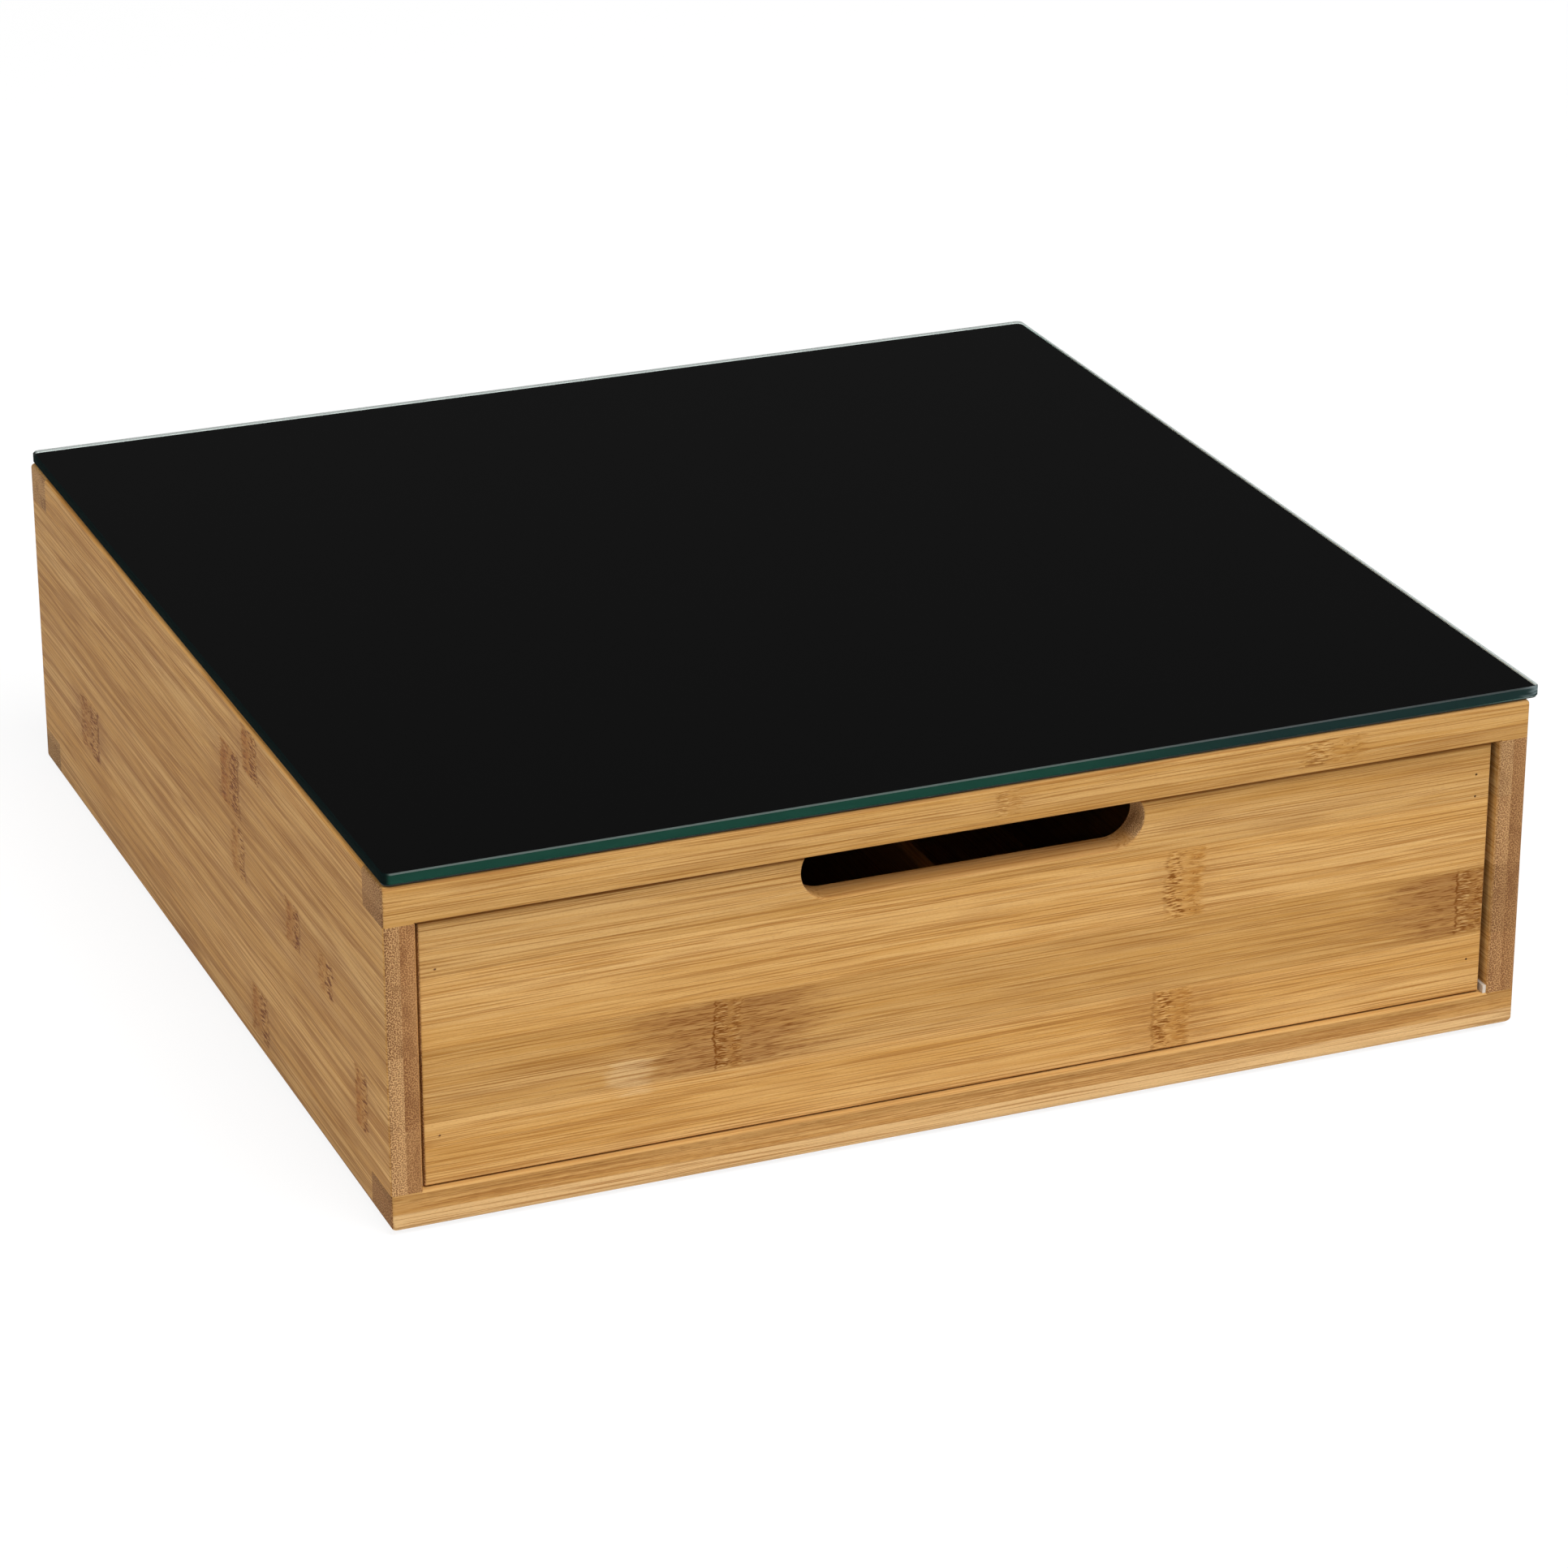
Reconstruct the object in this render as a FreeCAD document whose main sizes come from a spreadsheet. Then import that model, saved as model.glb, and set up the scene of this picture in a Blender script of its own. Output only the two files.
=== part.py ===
import FreeCAD, Part
import Sketcher
import math
import os
import re

# Coffee capsule drawer: a bamboo casing with a glass top, and one drawer that slides out to the front.
# Millimetres. +Z is up, the drawer opens towards -Y, and the origin is on the surface that the part
# stands on, below the middle of its whole width and depth.

doc = FreeCAD.newDocument("coffee_capsule_drawer")
sheet = doc.addObject("Spreadsheet::Sheet", "sizes")

# Driving dimensions: alias, value, meaning
SIZES = [
    ("casing_width", 305, "outside width of the bamboo casing"),
    ("casing_depth", 315, "outside depth of the casing"),
    ("casing_height", 90.5, "height of the casing without glass and pads"),
    ("side_thickness", 8, "board of the two side panels"),
    ("rail_depth", 15, "front to back size of the four rails"),
    ("top_rail_height", 10.2, "height of the two top rails"),
    ("bottom_rail_height", 9.8, "height of the two bottom rails"),
    ("top_edge_round", 1.2, "rounding of the casing's top outer edges"),
    ("bottom_edge_round", 1.6, "rounding of the casing's bottom outer edges"),
    ("corner_round", 0.8, "rounding of the casing's four upright edges"),
    ("opening_ease", 0.4, "small chamfer around the front opening"),
    ("panel_overlap", 4, "how far top and bottom panel reach into sides and rails"),
    ("panel_play", 0.2, "gap between a panel's edge and the end of its groove"),
    ("bottom_panel_thickness", 3, "panel that the drawer runs on"),
    ("top_panel_thickness", 3, "panel under the glass"),
    ("back_panel_thickness", 4, "panel that closes the back"),
    ("back_groove_depth", 4, "groove of the back panel"),
    ("back_groove_wall", 3, "wood between the back groove and the panel rebates"),
    ("pad_height", 1, "height of an anti-slip pad"),
    ("pad_radius", 4, "radius of an anti-slip pad"),
    ("pad_inset", 12, "pad centre from the casing's side"),
    ("adhesive_thickness", 0.3, "clear adhesive pads that hold the glass"),
    ("adhesive_length", 24, "adhesive pad along the rail"),
    ("adhesive_depth", 6, "adhesive pad across the rail"),
    ("adhesive_spacing", 120, "distance between adhesive pads along a rail"),
    ("backing_thickness", 0.2, "black layer on the underside of the glass"),
    ("glass_thickness", 3, "glass top"),
    ("glass_overhang_right", 2.8, "glass beyond the casing on the right"),
    ("glass_inset_left", 0.4, "glass short of the casing on the left"),
    ("glass_corner_round", 2.2, "upright corner edges of the glass"),
    ("glass_arris", 0.35, "ground chamfer along the edges of the glass"),
    ("glide_thickness", 0.9, "white glide strip beside the drawer"),
    ("glide_height", 2.2, "height of a glide strip"),
    ("left_glide_setback", 3.0, "left glide strip behind the casing's front"),
    ("right_glide_setback", 0.4, "right glide strip behind the casing's front"),
    ("glide_play_left", 0.1, "drawer to left glide strip"),
    ("glide_play_right", 0.7, "drawer to right glide strip"),
    ("run_gap", 0.3, "drawer sides above the bottom panel"),
    ("closing_gap", 0.3, "closed drawer to the back panel"),
    ("front_recess", 1.6, "drawer front behind the casing's front"),
    ("front_gap_top", 0.9, "drawer front to the top rail"),
    ("front_gap_bottom", 0.35, "drawer front to the bottom rail"),
    ("front_thickness", 8, "board of the drawer front"),
    ("front_ease", 0.5, "rounding of the drawer front's outline"),
    ("notch_width", 91.6, "finger notch at its widest"),
    ("notch_radius", 7.8, "round ends of the finger notch"),
    ("notch_lip", 1.0, "how far each end of the notch curves back in at its mouth"),
    ("drawer_side_thickness", 8, "board of the drawer sides"),
    ("drawer_side_drop", 1.5, "drawer sides below the drawer front's top edge"),
    ("drawer_back_thickness", 8, "board of the drawer back"),
    ("drawer_bottom_thickness", 3, "drawer bottom"),
    ("drawer_bottom_raise", 4, "drawer bottom above the lower edge of the drawer sides"),
    ("drawer_groove_depth", 4, "groove of the drawer bottom"),
    ("divider_thickness", 4, "board of a divider"),
    ("divider_drop", 19.5, "divider's top edge below the top of the drawer sides"),
    ("divider_seat", 3, "how far a divider reaches into drawer front and back"),
    ("divider_play", 0.15, "gap around a divider's end in its seat"),
    ("divider_ease", 0.6, "rounding of a divider's top edges"),
    ("pin_radius", 0.32, "radius of a headless pin"),
    ("pin_length", 20, "length of a headless pin"),
    ("pin_sink", 0.5, "how deep a pin's end lies below the surface"),
    ("left_pin_rise", 12.9, "left end of the front: lower pin above the front's lower edge"),
    ("left_pin_drop", 12.5, "left end of the front: upper pin below the front's top edge"),
    ("right_pin_rise", 9.7, "right end of the front: lower pin above the front's lower edge"),
    ("right_pin_drop", 13.9, "right end of the front: second pin below the front's top edge"),
    ("extra_pin_drop", 7.9, "right end of the front: third pin below the front's top edge"),
    ("back_pin_rise", 14, "lower back pins above the lower edge of the drawer sides"),
    ("back_pin_drop", 14, "upper back pins below the top edge of the drawer sides"),
]

# Sizes and places that follow from the driving ones
DERIVED = {
    "casing_left": "-(casing_width + glass_overhang_right) / 2",
    "casing_right": "casing_left + casing_width",
    "casing_front": "-casing_depth / 2",
    "casing_back": "casing_depth / 2",
    "casing_bottom": "pad_height",
    "casing_top": "casing_bottom + casing_height",
    "inner_left": "casing_left + side_thickness",
    "inner_right": "casing_right - side_thickness",
    "inner_width": "casing_width - 2 * side_thickness",
    "opening_bottom": "casing_bottom + bottom_rail_height",
    "opening_top": "casing_top - top_rail_height",
    "opening_height": "opening_top - opening_bottom",
    "back_rail_front": "casing_back - rail_depth",
    "back_panel_front": "back_rail_front + panel_overlap + back_groove_wall",
    "rebate_front": "casing_front + rail_depth - panel_overlap",
    "rebate_back": "back_rail_front + panel_overlap",
    "backing_bottom": "casing_top + adhesive_thickness",
    "glass_bottom": "backing_bottom + backing_thickness",
    "glass_left": "casing_left + glass_inset_left",
    "glass_width": "casing_width - glass_inset_left + glass_overhang_right",
    "drawer_left": "inner_left + glide_thickness + glide_play_left",
    "drawer_right": "inner_right - glide_thickness - glide_play_right",
    "drawer_width": "drawer_right - drawer_left",
    "drawer_front_face": "casing_front + front_recess",
    "drawer_front_inside": "drawer_front_face + front_thickness",
    "drawer_end": "back_panel_front - closing_gap",
    "drawer_back_inside": "drawer_end - drawer_back_thickness",
    "front_bottom": "opening_bottom + front_gap_bottom",
    "front_top": "opening_top - front_gap_top",
    "run_bottom": "opening_bottom + run_gap",
    "drawer_side_top": "front_top - drawer_side_drop",
    "drawer_inner_left": "drawer_left + drawer_side_thickness",
    "drawer_inner_right": "drawer_right - drawer_side_thickness",
    "drawer_inner_width": "drawer_inner_right - drawer_inner_left",
    "drawer_floor_bottom": "run_bottom + drawer_bottom_raise",
    "drawer_floor": "drawer_floor_bottom + drawer_bottom_thickness",
    "divider_height": "drawer_side_top - divider_drop - drawer_floor",
    "divider_front": "drawer_front_inside - divider_seat + divider_play",
    "divider_end": "drawer_back_inside + divider_seat - divider_play",
    "front_pin_left_x": "drawer_left + drawer_side_thickness / 2",
    "front_pin_right_x": "drawer_right - drawer_side_thickness / 2",
    "back_pin_y": "drawer_end - drawer_back_thickness / 2",
    "notch_arc_x": "notch_width / 2 - notch_radius",
    "notch_arc_drop": "sqrt(notch_radius ^ 2 - (notch_radius - notch_lip) ^ 2)",
    "notch_depth": "notch_radius + notch_arc_drop",
}

for row, (alias, value, meaning) in enumerate(SIZES, start=1):
    sheet.set("A%d" % row, meaning)
    sheet.set("B%d" % row, str(value))
    sheet.setAlias("B%d" % row, alias)
doc.recompute()

DRIVING = [alias for alias, value, meaning in SIZES]
WORD = re.compile(r"[a-z][a-z_0-9]*")


def formula(text):
    """Write out derived names and point driving names at the spreadsheet."""
    def spell(match):
        word = match.group(0)
        if word in DERIVED:
            return "(" + formula(DERIVED[word]) + ")"
        if word in DRIVING:
            return "sizes." + word
        return word
    return WORD.sub(spell, str(text))


def number(text):
    """The value of a formula, for the few places that take a plain number."""
    return float(sheet.evalExpression(formula(text)))


def bind(thing, **sizes):
    for prop, text in sizes.items():
        thing.setExpression(prop, formula(text))


def place(thing, x, y, z):
    for axis, text in (("x", x), ("y", y), ("z", z)):
        thing.setExpression("Placement.Base." + axis, formula(text))


def box(name, x, y, z, width, depth, height):
    block = doc.addObject("Part::Box", name)
    bind(block, Length=width, Width=depth, Height=height)
    place(block, x, y, z)
    return block


def rod(name, x, y, z, radius, length, along="z"):
    """A cylinder that starts at a point and runs along +x, +y or +z."""
    cylinder = doc.addObject("Part::Cylinder", name)
    bind(cylinder, Radius=radius, Height=length)
    turn = {
        "x": FreeCAD.Rotation(FreeCAD.Vector(0, 1, 0), 90),
        "y": FreeCAD.Rotation(FreeCAD.Vector(1, 0, 0), -90),
        "z": FreeCAD.Rotation(),
    }[along]
    cylinder.Placement = FreeCAD.Placement(FreeCAD.Vector(), turn)
    place(cylinder, x, y, z)
    return cylinder


def group(name, solids):
    """Several separate solids that belong to one sub-part."""
    bundle = doc.addObject("Part::Compound", name)
    bundle.Links = solids
    return bundle


def cut(name, base, tools):
    piece = doc.addObject("Part::Cut", name)
    piece.Base = base
    if len(tools) == 1:
        piece.Tool = tools[0]
    else:
        joined = doc.addObject("Part::MultiFuse", name + "_tools")
        joined.Shapes = tools
        piece.Tool = joined
    return piece


def common(name, base, tool):
    piece = doc.addObject("Part::Common", name)
    piece.Base = base
    piece.Tool = tool
    return piece


def rounded(name, base, rounds):
    """Round edges of an object: each entry is a test on an edge and a radius in words."""
    doc.recompute()
    piece = doc.addObject("Part::Fillet", name)
    piece.Base = base
    edges = []
    for index, edge in enumerate(base.Shape.Edges, start=1):
        for test, radius in rounds:
            if test(edge):
                edges.append((index, number(radius), number(radius)))
                break
    piece.Edges = edges
    return piece


def lies_at(edge, axis, value):
    """True when the whole edge has one coordinate at the given value."""
    low = getattr(edge.BoundBox, axis + "Min")
    high = getattr(edge.BoundBox, axis + "Max")
    return abs(low - value) < 1e-4 and abs(high - value) < 1e-4


finished = []


def finish(label, thing):
    thing.Label = label
    finished.append(thing)
    return thing


# Casing envelope: the outer form that all casing pieces are sanded to

def casing_envelope():
    block = box("casing_block", "casing_left", "casing_front", "casing_bottom",
                "casing_width", "casing_depth", "casing_height")
    doc.recompute()
    top = number("casing_top")
    bottom = number("casing_bottom")
    return rounded("casing_envelope", block, [
        (lambda edge: lies_at(edge, "Z", top), "top_edge_round"),
        (lambda edge: lies_at(edge, "Z", bottom), "bottom_edge_round"),
        (lambda edge: True, "corner_round"),
    ])


def opening_chamfer():
    """A flared plug that takes the sharp edge off the front opening."""
    flare = doc.addObject("Part::Wedge", "opening_flare")
    bind(flare,
         Xmin="-opening_ease", Xmax="inner_width + opening_ease",
         Zmin="-opening_ease", Zmax="opening_height + opening_ease",
         Ymin="0", Ymax="opening_ease",
         X2min="0", X2max="inner_width", Z2min="0", Z2max="opening_height")
    place(flare, "inner_left", "casing_front", "opening_bottom")
    return flare


envelope = casing_envelope()
flare = opening_chamfer()

top_panel_rebate = box("top_panel_rebate",
                       "inner_left - panel_overlap", "rebate_front", "casing_top - top_panel_thickness",
                       "inner_width + 2 * panel_overlap", "rebate_back - rebate_front",
                       "top_panel_thickness")
bottom_panel_rebate = box("bottom_panel_rebate",
                          "inner_left - panel_overlap", "rebate_front",
                          "opening_bottom - bottom_panel_thickness",
                          "inner_width + 2 * panel_overlap", "rebate_back - rebate_front",
                          "bottom_panel_thickness")
back_panel_groove = box("back_panel_groove",
                        "inner_left - back_groove_depth", "back_panel_front",
                        "opening_bottom - back_groove_depth",
                        "inner_width + 2 * back_groove_depth", "back_panel_thickness",
                        "opening_height + 2 * back_groove_depth")


def rail(label, y, z, height):
    """A rail across the whole width of the casing, with the rebates and grooves of the panels."""
    stock = box(label + "_stock", "casing_left", y, z, "casing_width", "rail_depth", height)
    blank = common(label + "_blank", envelope, stock)
    return finish(label, cut(label + "_cut", blank,
                             [top_panel_rebate, bottom_panel_rebate, back_panel_groove, flare]))


rail("top_front_rail", "casing_front", "opening_top", "top_rail_height")
rail("bottom_front_rail", "casing_front", "casing_bottom", "bottom_rail_height")
rail("top_back_rail", "back_rail_front", "opening_top", "top_rail_height")
rail("bottom_back_rail", "back_rail_front", "casing_bottom", "bottom_rail_height")


def side_panel(label, x):
    """A side board, notched at its four corners for the rails."""
    board = box(label + "_board", x, "casing_front", "casing_bottom",
                "side_thickness", "casing_depth", "casing_height")
    blank = common(label + "_blank", envelope, board)
    notches = []
    for end, y in (("front", "casing_front"), ("back", "back_rail_front")):
        notches.append(box(label + "_top_" + end + "_notch", x, y, "opening_top",
                           "side_thickness", "rail_depth", "top_rail_height"))
        notches.append(box(label + "_bottom_" + end + "_notch", x, y, "casing_bottom",
                           "side_thickness", "rail_depth", "bottom_rail_height"))
    tools = notches + [top_panel_rebate, bottom_panel_rebate, back_panel_groove, flare]
    return finish(label, cut(label + "_cut", blank, tools))


side_panel("left_side_panel", "casing_left")
side_panel("right_side_panel", "inner_right")

finish("top_panel",
       box("top_panel_board",
           "inner_left - panel_overlap + panel_play", "rebate_front + panel_play",
           "casing_top - top_panel_thickness",
           "inner_width + 2 * panel_overlap - 2 * panel_play",
           "rebate_back - rebate_front - 2 * panel_play", "top_panel_thickness"))
finish("bottom_panel",
       box("bottom_panel_board",
           "inner_left - panel_overlap + panel_play", "rebate_front + panel_play",
           "opening_bottom - bottom_panel_thickness",
           "inner_width + 2 * panel_overlap - 2 * panel_play",
           "rebate_back - rebate_front - 2 * panel_play", "bottom_panel_thickness"))
finish("back_panel",
       box("back_panel_board",
           "inner_left - back_groove_depth + panel_play", "back_panel_front",
           "opening_bottom - back_groove_depth + panel_play",
           "inner_width + 2 * back_groove_depth - 2 * panel_play", "back_panel_thickness",
           "opening_height + 2 * back_groove_depth - 2 * panel_play"))


# Glide strips at the foot of the side panels

def glide_strip(label, x, setback):
    return finish(label, box(label + "_bar", x, "casing_front + " + setback, "opening_bottom",
                             "glide_thickness", "back_panel_front - casing_front - " + setback,
                             "glide_height"))


glide_strip("left_glide_strip", "inner_left", "left_glide_setback")
glide_strip("right_glide_strip", "inner_right - glide_thickness", "right_glide_setback")


# Anti-slip pads under the ends of the two bottom rails

def anti_slip_pads():
    pads = []
    for side, x in (("left", "casing_left + pad_inset"), ("right", "casing_right - pad_inset")):
        for end, y in (("front", "casing_front + rail_depth / 2"), ("back", "casing_back - rail_depth / 2")):
            pads.append(rod("pad_" + end + "_" + side, x, y, "0", "pad_radius", "pad_height"))
    return finish("anti_slip_pads", group("pads", pads))


anti_slip_pads()


# Glass top, its black backing and the adhesive pads that hold it

def rounded_rectangle(sketch, width, depth, radius):
    """A rectangle with four round corners from the sketch's origin, fully constrained."""
    across = number(width)
    along = number(depth)
    bend = number(radius)
    up = FreeCAD.Vector(0, 0, 1)
    corners = [(across - bend, bend), (across - bend, along - bend), (bend, along - bend), (bend, bend)]
    starts = [(bend, 0), (across, bend), (across - bend, along), (0, along - bend)]
    ends = [(across - bend, 0), (across, along - bend), (bend, along), (0, bend)]
    lines = []
    arcs = []
    for turn in range(4):
        start = FreeCAD.Vector(*starts[turn], 0)
        end = FreeCAD.Vector(*ends[turn], 0)
        centre = FreeCAD.Vector(*corners[turn], 0)
        first = math.radians(-90 + 90 * turn)
        lines.append(sketch.addGeometry(Part.LineSegment(start, end), False))
        arc = Part.ArcOfCircle(Part.Circle(centre, up, bend), first, first + math.pi / 2)
        arcs.append(sketch.addGeometry(arc, False))
    limits = [("Tangent", lines[turn], 2, arcs[turn], 1) for turn in range(4)]
    limits += [("Tangent", arcs[turn], 2, lines[(turn + 1) % 4], 1) for turn in range(4)]
    limits += [("Horizontal", lines[0]), ("Vertical", lines[1]), ("Horizontal", lines[2]),
               ("Vertical", lines[3])]
    limits += [("Equal", arcs[0], arcs[turn]) for turn in range(1, 4)]
    constrain(sketch, limits)
    constrain_size(sketch, "bend", ("Radius", arcs[0], bend), radius)
    constrain_size(sketch, "across", ("DistanceX", lines[3], 1, lines[1], 1, across), width)
    constrain_size(sketch, "along", ("DistanceY", lines[0], 1, lines[2], 1, along), depth)
    constrain(sketch, [("PointOnObject", lines[0], 1, -1), ("PointOnObject", lines[3], 1, -2)])


def constrain(sketch, limits):
    for limit in limits:
        sketch.addConstraint(Sketcher.Constraint(*limit))


def constrain_size(sketch, name, limit, text):
    index = sketch.addConstraint(Sketcher.Constraint(*limit))
    sketch.renameConstraint(index, name)
    sketch.setExpression("Constraints." + name, formula(text))


def new_body(name, role):
    """A body with one empty sketch on the origin plane of the given role."""
    body = doc.addObject("PartDesign::Body", name)
    plane = [feature for feature in body.Origin.OriginFeatures if feature.Role == role][0]
    sketch = body.newObject("Sketcher::SketchObject", name + "_outline")
    sketch.AttachmentSupport = [(plane, "")]
    sketch.MapMode = "FlatFace"
    return body, sketch


def pad(body, sketch, length, backwards=False):
    feature = body.newObject("PartDesign::Pad", body.Name + "_pad")
    feature.Profile = sketch
    feature.Reversed = backwards
    bind(feature, Length=length)
    body.Tip = feature
    doc.recompute()
    return feature


def glass_top():
    body, sketch = new_body("glass", "XY_Plane")
    rounded_rectangle(sketch, "glass_width", "casing_depth", "glass_corner_round")
    sheet_of_glass = pad(body, sketch, "glass_thickness")
    arris = body.newObject("PartDesign::Chamfer", "glass_arris")
    arris.Base = (sheet_of_glass, ["Face%d" % (index + 1)
                                   for index, face in enumerate(sheet_of_glass.Shape.Faces)
                                   if abs(face.normalAt(0, 0).z) > 0.9])
    bind(arris, Size="glass_arris")
    body.Tip = arris
    place(body, "glass_left", "casing_front", "glass_bottom")
    return finish("glass_top", body)


def glass_backing():
    body, sketch = new_body("backing", "XY_Plane")
    rounded_rectangle(sketch, "glass_width - 2 * glass_arris", "casing_depth - 2 * glass_arris",
                      "glass_corner_round - glass_arris")
    pad(body, sketch, "backing_thickness")
    place(body, "glass_left + glass_arris", "casing_front + glass_arris", "backing_bottom")
    return finish("glass_backing", body)


def adhesive_pads():
    pads = []
    rows = (("front", "casing_front + (rail_depth - panel_overlap - adhesive_depth) / 2"),
            ("back", "casing_back - (rail_depth - panel_overlap + adhesive_depth) / 2"))
    for row_name, y in rows:
        for step in (-1, 0, 1):
            x = "(casing_left + casing_right - adhesive_length) / 2 + adhesive_spacing * %d" % step
            pads.append(box("adhesive_%s_%d" % (row_name, step + 2), x, y, "casing_top",
                            "adhesive_length", "adhesive_depth", "adhesive_thickness"))
    return finish("glass_adhesive_pads", group("adhesive", pads))


glass_top()
glass_backing()
adhesive_pads()


# Drawer: the panels of the box, its dividers and its pins

def drawer_front_outline(sketch):
    """A rectangle whose top edge holds the finger notch, a slot with two round ends."""
    width = number("drawer_width")
    height = number("front_top - front_bottom")
    floor = height - number("notch_depth")
    radius = number("notch_radius")
    reach = number("notch_arc_x")
    mouth = number("notch_radius - notch_lip")
    mouth_angle = math.acos(mouth / radius)
    middle = width / 2

    def line(x1, z1, x2, z2):
        segment = Part.LineSegment(FreeCAD.Vector(x1, z1, 0), FreeCAD.Vector(x2, z2, 0))
        return sketch.addGeometry(segment, False)

    def arc(x, first, last):
        circle = Part.Circle(FreeCAD.Vector(x, floor + radius, 0), FreeCAD.Vector(0, 0, 1), radius)
        return sketch.addGeometry(Part.ArcOfCircle(circle, first, last), False)

    bottom = line(0, 0, width, 0)
    right = line(width, 0, width, height)
    top_right = line(width, height, middle + reach + mouth, height)
    right_arc = arc(middle + reach, -math.pi / 2, mouth_angle)
    notch_floor = line(middle + reach, floor, middle - reach, floor)
    left_arc = arc(middle - reach, math.pi - mouth_angle, 3 * math.pi / 2)
    top_left = line(middle - reach - mouth, height, 0, height)
    left = line(0, height, 0, 0)
    constrain(sketch, [
        ("Coincident", bottom, 1, -1, 1),
        ("Coincident", bottom, 2, right, 1),
        ("Coincident", right, 2, top_right, 1),
        ("Coincident", top_right, 2, right_arc, 2),
        ("Tangent", right_arc, 1, notch_floor, 1),
        ("Tangent", notch_floor, 2, left_arc, 2),
        ("Coincident", left_arc, 1, top_left, 1),
        ("Coincident", top_left, 2, left, 1),
        ("Coincident", left, 2, bottom, 1),
        ("Horizontal", bottom), ("Vertical", right), ("Horizontal", top_right),
        ("Horizontal", notch_floor), ("Horizontal", top_left), ("Vertical", left),
        ("Equal", right_arc, left_arc),
        ("Equal", top_right, top_left),
    ])
    constrain_size(sketch, "board_width", ("DistanceX", bottom, 1, bottom, 2, width), "drawer_width")
    constrain_size(sketch, "board_height", ("DistanceY", right, 1, right, 2, height),
                   "front_top - front_bottom")
    constrain_size(sketch, "end_radius", ("Radius", right_arc, radius), "notch_radius")
    constrain_size(sketch, "floor_width", ("DistanceX", notch_floor, 2, notch_floor, 1, 2 * reach),
                   "2 * notch_arc_x")
    constrain_size(sketch, "floor_depth", ("DistanceY", notch_floor, 1, right, 2, height - floor),
                   "notch_depth")


DIVIDERS = ["left_divider", "centre_divider", "right_divider"]


def divider_places():
    """Left faces of the dividers, evenly spread over the inside of the drawer."""
    lane = "((drawer_inner_width - %d * divider_thickness) / %d)" % (len(DIVIDERS), len(DIVIDERS) + 1)
    return ["drawer_inner_left + %d * %s + %d * divider_thickness" % (step + 1, lane, step)
            for step in range(len(DIVIDERS))]


drawer_floor_groove = box("drawer_floor_groove",
                          "drawer_inner_left - drawer_groove_depth",
                          "drawer_front_inside - drawer_groove_depth", "drawer_floor_bottom",
                          "drawer_inner_width + 2 * drawer_groove_depth",
                          "drawer_back_inside - drawer_front_inside + 2 * drawer_groove_depth",
                          "drawer_bottom_thickness")
divider_seats = [box(name + "_seat", place_x + " - divider_play", "drawer_front_inside - divider_seat",
                     "drawer_floor", "divider_thickness + 2 * divider_play",
                     "drawer_back_inside - drawer_front_inside + 2 * divider_seat",
                     "divider_height + divider_play")
                 for name, place_x in zip(DIVIDERS, divider_places())]

# Pins are shot by hand, so their heights differ, and the right end of the front has one more.
FRONT_PINS = [("left_low_pin", "front_pin_left_x", "front_bottom + left_pin_rise"),
              ("left_high_pin", "front_pin_left_x", "front_top - left_pin_drop"),
              ("right_low_pin", "front_pin_right_x", "front_bottom + right_pin_rise"),
              ("right_high_pin", "front_pin_right_x", "front_top - right_pin_drop"),
              ("extra_pin", "front_pin_right_x", "front_top - extra_pin_drop")]
front_pin_holes = []
front_pins = []
for name, x, z in FRONT_PINS:
    front_pin_holes.append(rod(name + "_hole", x, "drawer_front_face", z,
                               "pin_radius", "pin_sink + pin_length", "y"))
    front_pins.append(rod(name, x, "drawer_front_face + pin_sink", z, "pin_radius", "pin_length", "y"))

right_pin_end = "drawer_right - pin_sink - pin_length"
back_pin_holes = []
back_pins = []
for side, hole_x, pin_x in (("left", "drawer_left", "drawer_left + pin_sink"),
                            ("right", right_pin_end, right_pin_end)):
    for level, z in (("low", "run_bottom + back_pin_rise"), ("high", "drawer_side_top - back_pin_drop")):
        name = "back_%s_%s_pin" % (side, level)
        back_pin_holes.append(rod(name + "_hole", hole_x, "back_pin_y", z,
                                  "pin_radius", "pin_sink + pin_length", "x"))
        back_pins.append(rod(name, pin_x, "back_pin_y", z, "pin_radius", "pin_length", "x"))


def drawer_front():
    body, sketch = new_body("front_board", "XZ_Plane")
    drawer_front_outline(sketch)
    pad(body, sketch, "front_thickness", backwards=True)
    place(body, "drawer_left", "drawer_front_face", "front_bottom")
    doc.recompute()
    face = number("drawer_front_face")
    eased = rounded("front_eased", body, [(lambda edge: lies_at(edge, "Y", face), "front_ease")])
    return finish("drawer_front", cut("front_cut", eased,
                                      [drawer_floor_groove] + divider_seats + front_pin_holes))


def drawer_side(label, x):
    board = box(label + "_board", x, "drawer_front_inside", "run_bottom", "drawer_side_thickness",
                "drawer_end - drawer_front_inside", "drawer_side_top - run_bottom")
    return finish(label, cut(label + "_cut", board,
                             [drawer_floor_groove] + front_pin_holes + back_pin_holes))


def drawer_back():
    board = box("drawer_back_board", "drawer_inner_left", "drawer_back_inside", "run_bottom",
                "drawer_inner_width", "drawer_back_thickness", "drawer_side_top - run_bottom")
    return finish("drawer_back", cut("drawer_back_cut", board,
                                     [drawer_floor_groove] + divider_seats + back_pin_holes))


def drawer_bottom():
    return finish("drawer_bottom",
                  box("drawer_bottom_board",
                      "drawer_inner_left - drawer_groove_depth + panel_play",
                      "drawer_front_inside - drawer_groove_depth + panel_play", "drawer_floor_bottom",
                      "drawer_inner_width + 2 * drawer_groove_depth - 2 * panel_play",
                      "drawer_back_inside - drawer_front_inside + 2 * drawer_groove_depth - 2 * panel_play",
                      "drawer_bottom_thickness"))


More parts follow.
